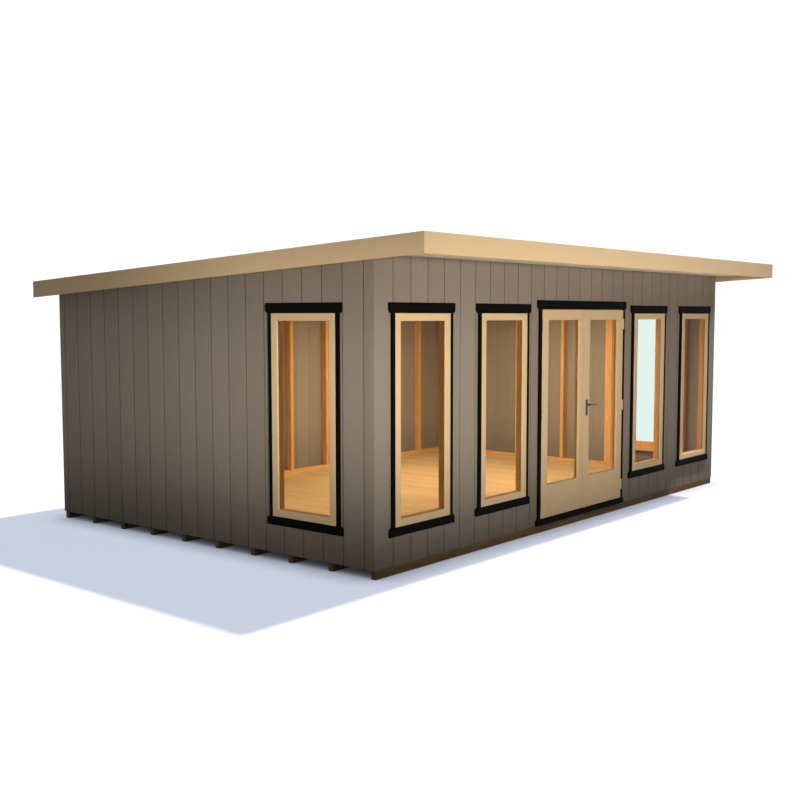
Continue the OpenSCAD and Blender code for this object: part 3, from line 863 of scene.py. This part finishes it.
def headTree(spec):
    tree, sockets, entry, leave = newShapeTree("fixingHeads", {
        "Geometry": "Geometry", "Radius": "Float", "Height": "Float", "Slotted": "Bool",
        "Finish": "Material"})
    radius, height = entry.outputs["Radius"], entry.outputs["Height"]
    head = setInputs(addNode(tree, "GeometryNodeMeshCylinder"), {"Vertices": spec["sides"]})
    slotSize = addNode(tree, "ShaderNodeCombineXYZ")
    slot = addNode(tree, "GeometryNodeMeshCube")
    lift = addNode(tree, "ShaderNodeCombineXYZ")
    raised = addNode(tree, "GeometryNodeTransform")
    crossed = addNode(tree, "GeometryNodeTransform")
    crossed.inputs["Rotation"].default_value = (0, 0, math.pi / 2)
    cut = addNode(tree, "GeometryNodeMeshBoolean", operation="DIFFERENCE", solver="EXACT")
    pick = addNode(tree, "GeometryNodeSwitch", input_type="GEOMETRY")
    facing = addNode(tree, "GeometryNodeInputNamedAttribute", data_type="FLOAT_VECTOR")
    facing.inputs["Name"].default_value = "facing"
    aim = addNode(tree, "FunctionNodeAlignRotationToVector", axis="Z")
    placed = addNode(tree, "GeometryNodeInstanceOnPoints")
    join(
        tree,
        (radius, head.inputs["Radius"]),
        (height, head.inputs["Depth"]),
        (maths(tree, "MULTIPLY", radius, spec["slotLong"]), slotSize.inputs["X"]),
        (maths(tree, "MULTIPLY", radius, spec["slotWide"]), slotSize.inputs["Y"]),
        (height, slotSize.inputs["Z"]),
        (slotSize.outputs[0], slot.inputs["Size"]),
        (maths(tree, "MULTIPLY", height, spec["slotLift"]), lift.inputs["Z"]),
        (slot.outputs["Mesh"], raised.inputs["Geometry"]),
        (lift.outputs[0], raised.inputs["Translation"]),
        (raised.outputs[0], crossed.inputs["Geometry"]),
        (head.outputs["Mesh"], cut.inputs[0]),
        (raised.outputs[0], cut.inputs[1]),
        (crossed.outputs[0], cut.inputs[1]),
        (entry.outputs["Slotted"], pick.inputs["Switch"]),
        (head.outputs["Mesh"], pick.inputs["False"]),
        (cut.outputs[0], pick.inputs["True"]),
        (facing.outputs["Attribute"], aim.inputs["Vector"]),
        (entry.outputs["Geometry"], placed.inputs["Points"]),
        (pick.outputs[0], placed.inputs["Instance"]),
        (aim.outputs[0], placed.inputs["Rotation"]),
    )
    endTree(tree, entry, leave, placed.outputs[0])
    return tree, sockets


fixingHeads = headTree(headShape)


def setHeads(name, points, facings, values, body, slot):
    mesh = bpy.data.meshes.new(name)
    mesh.from_pydata([tuple(p) for p in points], [], [])
    layer = mesh.attributes.new("facing", "FLOAT_VECTOR", "POINT")
    for item, way in zip(layer.data, facings):
        item.vector = way
    made = runTree(mesh, *fixingHeads, values)
    made.shade_smooth()
    made.set_sharp_from_angle(angle=headShape["sharp"])
    piece = bpy.data.objects.new(name, made)
    bpy.context.scene.collection.objects.link(piece)
    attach(piece, body)


fixings = {
    "hingeHeights": (0.263, 1.0555, 1.848), "leafFlap": 0.741, "frameFlap": 0.742,
    # height from the middle of the hinge, and depth
    "leafScrews": ((-0.038, -1.738), (0.0, -1.748), (0.038, -1.738)),
    "frameScrews": ((-0.030, -1.746), (0.008, -1.737), (0.030, -1.746)),
    "handleX": 0.046, "handleHeights": (1.1385, 1.0055), "handleFaces": (-1.768, -1.715),
    # radius and height of a head
    "hingeScrew": (0.0035, 0.0005), "handleScrew": (0.0035, 0.0014), "nail": (0.005, 0.0008),
}


def headValues(size, slotted, finish):
    return {"Radius": size[0], "Height": size[1], "Slotted": slotted, "Finish": finishes[finish]}


def buildFixings(spec, nails, nailsFace):
    screw = headValues(spec["hingeScrew"], True, "hinge")
    heights = spec["hingeHeights"]
    framePoints, frameWays = [], []
    for side, body in ((-1, "left_door"), (1, "right_door")):
        points = [(side * spec["leafFlap"], y, z + dz) for z in heights for dz, y in spec["leafScrews"]]
        ways = [(side, 0, 0)] * len(points)
        setHeads(body + "_hinge_screws", points, ways, screw, body, slotOf[body + "_hinges"])
        points = [(side * spec["frameFlap"], y, z + dz) for z in heights for dz, y in spec["frameScrews"]]
        framePoints += points
        frameWays += [(-side, 0, 0)] * len(points)
    setHeads("frame_hinge_screws", framePoints, frameWays, screw, "room", slotOf["door_frame_hinges"])
    outer, inner = spec["handleFaces"]
    points = [(spec["handleX"], y, z) for y in (outer, inner) for z in spec["handleHeights"]]
    ways = [(0, -1 if p[1] == outer else 1, 0) for p in points]
    screw = headValues(spec["handleScrew"], True, "steel")
    setHeads("handle_screws", points, ways, screw, "right_door", "dark_steel")
    nail = headValues(spec["nail"], False, "steel")
    setHeads("felt_nails", nails, [nailsFace] * len(nails), nail, "room", "roof_felt")
    print("screws and nails set:", len(framePoints) * 2 + len(points) + len(nails))


buildFixings(fixings, *feltNails)


# floor, light and camera

# 1 for what the camera sees, straight or in a pane or metal, and 0 for light that a surface has spread
def seenBackdrop(tree):
    path = addNode(tree, "ShaderNodeLightPath")
    mirrored = maths(tree, "MAXIMUM", path.outputs["Is Glossy Ray"], path.outputs["Is Transmission Ray"])
    direct = maths(tree, "MAXIMUM", path.outputs["Is Camera Ray"], mirrored)
    return maths(tree, "MULTIPLY", direct, maths(tree, "LESS_THAN", path.outputs["Diffuse Depth"], 0.5))


studioFloor = {
    "size": 120, "rough": 0.9, "unseen": (0.1, 0.1, 0.1), "seen": (0.36, 0.36, 0.36),
    "glow": (0.54, 0.585, 0.705), "paintedShadeReach": 0.3,  # painted shade in the glow, dark between the bearers only
}


def buildStage(spec):
    bpy.ops.mesh.primitive_plane_add(size=spec["size"])
    ground = bpy.context.object
    ground.name = "studio_floor"
    material, tree, shader = newMaterial("paleFloor")
    shader.inputs["Roughness"].default_value = spec["rough"]
    shader.inputs["Specular IOR Level"].default_value = 0.0
    shader.inputs["Emission Color"].default_value = (*spec["glow"], 1)
    seen = seenBackdrop(tree)
    nearby = addNode(tree, "ShaderNodeAmbientOcclusion", samples=4)
    nearby.inputs["Distance"].default_value = spec["paintedShadeReach"]
    # the glow is painted darker where parts are near: painted shade under the building
    join(
        tree,
        (mixColour(tree, seen, spec["unseen"], spec["seen"]), shader.inputs["Base Color"]),
        (product(tree, seen, nearby.outputs["AO"]), shader.inputs["Emission Strength"]),
    )
    ground.data.materials.append(material)


# the sky as a light, and as the camera sees it: like the floor past the panes
studioSky = {
    "light": {"Color": (0.84, 0.91, 1.0, 1), "Strength": 0.145},
    "seen": {"Color": (0.88, 0.91, 1.0, 1), "Strength": 1.2},
}


def buildWorld(spec):
    world = bpy.data.worlds.new("studio")
    world.use_nodes = True
    bpy.context.scene.world = world
    tree = world.node_tree
    light = setInputs(tree.nodes["Background"], spec["light"])
    seen = setInputs(addNode(tree, "ShaderNodeBackground"), spec["seen"])
    blend = addNode(tree, "ShaderNodeMixShader")
    join(
        tree,
        (seenBackdrop(tree), blend.inputs[0]),
        (light.outputs[0], blend.inputs[1]),
        (seen.outputs[0], blend.inputs[2]),
        (blend.outputs[0], tree.nodes["World Output"].inputs["Surface"]),
    )


# angles in degrees; a spot that is stretched lights a wide, low patch
studioLamps = {
    "sun": {"kind": "SUN", "place": (4.8, -1.2, 8.7), "target": (0, 0, 0), "power": 4.7,
            "colour": (1.0, 0.98, 0.94), "angle": 1.6},
    "keySoft": {"kind": "SPOT", "place": (-8.0, -9.6, 1.9), "target": (-1.4, -1.7, 1.38), "power": 4250,
                "colour": (1.0, 0.96, 0.87), "size": 0.7, "angle": 16.3, "stretch": 3.7},
    "endFill": {"kind": "SPOT", "place": (-9.5, -4.5, 1.9), "target": (-2.985, -0.55, 1.38), "power": 340,
                "colour": (1.0, 0.97, 0.90), "size": 0.5, "angle": 23.0},
    "backFill": {"kind": "SPOT", "place": (1.6, 11.0, 2.4), "target": (0.3, 1.8, 1.3), "power": 1700,
                 "colour": (1.0, 0.98, 0.95), "size": 0.7, "angle": 15.0, "stretch": 3.0},
    # two thin strips along the edge of the roof, from below so that they reach under the eaves
    "fasciaFill": {"kind": "SPOT", "place": (0.0, -9.5, 0.45), "target": (0.0, -2.336, 2.425), "power": 1300,
                   "colour": (1.0, 0.96, 0.90), "size": 0.3, "angle": 3.6, "stretch": 30.0},
    "bargeFill": {"kind": "SPOT", "place": (-10.2, -1.8, 0.45), "target": (-3.154, -1.8, 2.38), "power": 520,
                  "colour": (1.0, 0.96, 0.90), "size": 0.3, "angle": 4.4, "stretch": 13.0},
    "roomGlow": {"kind": "AREA", "place": (1.0, 0.1, 2.12), "target": (1.0, 0.1, 0), "power": 86,
                 "colour": (1.0, 0.87, 0.66), "size": 2.5},
    "roomGlowLeft": {"kind": "AREA", "place": (-1.3, 0.1, 2.12), "target": (-1.3, 0.1, 0), "power": 38,
                     "colour": (1.0, 0.87, 0.66), "size": 2.5},
    "eavesBounce": {"kind": "AREA", "place": (0, -2.05, 0.02), "target": (0, -2.05, 2.4), "power": 6,
                    "colour": (1.0, 0.96, 0.88), "size": 6.1, "depth": 0.12, "angle": 18},
}


def addLamp(name, spec):
    data = bpy.data.lights.new(name, spec["kind"])
    data.energy = spec["power"]
    data.color = spec["colour"]
    if spec["kind"] == "SUN":
        data.angle = math.radians(spec["angle"])
    elif spec["kind"] == "SPOT":
        data.shadow_soft_size = spec["size"]
        data.spot_size = math.radians(spec["angle"])
        data.spot_blend = 1.0
    else:
        data.shape = "RECTANGLE" if "depth" in spec else "DISK"
        data.size = spec["size"]
        if "depth" in spec:
            data.size_y = spec["depth"]
            data.spread = math.radians(spec["angle"])
    place = Vector(spec["place"])
    lamp = bpy.data.objects.new(name, data)
    lamp.location = place
    lamp.rotation_euler = (Vector(spec["target"]) - place).to_track_quat("-Z", "Y").to_euler()
    lamp.scale = (spec.get("stretch", 1.0), 1.0, 1.0)
    lamp.visible_camera = False
    lamp.visible_glossy = False
    lamp.visible_transmission = False
    bpy.context.scene.collection.objects.link(lamp)


photoCamera = {
    "place": (-8.874, -6.827, 1.942), "turn": (90 - 4.794, 0.0, -51.005), "lens": 48.65, "sensor": 36.0,
    "shift": (-0.0099, 0.0065), "reach": 200,
}


def buildCamera(spec):
    data = bpy.data.cameras.new("photoCamera")
    data.lens = spec["lens"]
    data.sensor_width = spec["sensor"]
    data.shift_x, data.shift_y = spec["shift"]
    data.clip_end = spec["reach"]
    camera = bpy.data.objects.new("photoCamera", data)
    camera.location = spec["place"]
    camera.rotation_euler = [math.radians(a) for a in spec["turn"]]
    bpy.context.scene.collection.objects.link(camera)
    bpy.context.scene.camera = camera


buildStage(studioFloor)
buildWorld(studioSky)
for lampName, lampSpec in studioLamps.items():
    addLamp(lampName, lampSpec)
buildCamera(photoCamera)
bpy.context.scene.view_settings.view_transform = "Standard"
print("stage, lights and camera set")
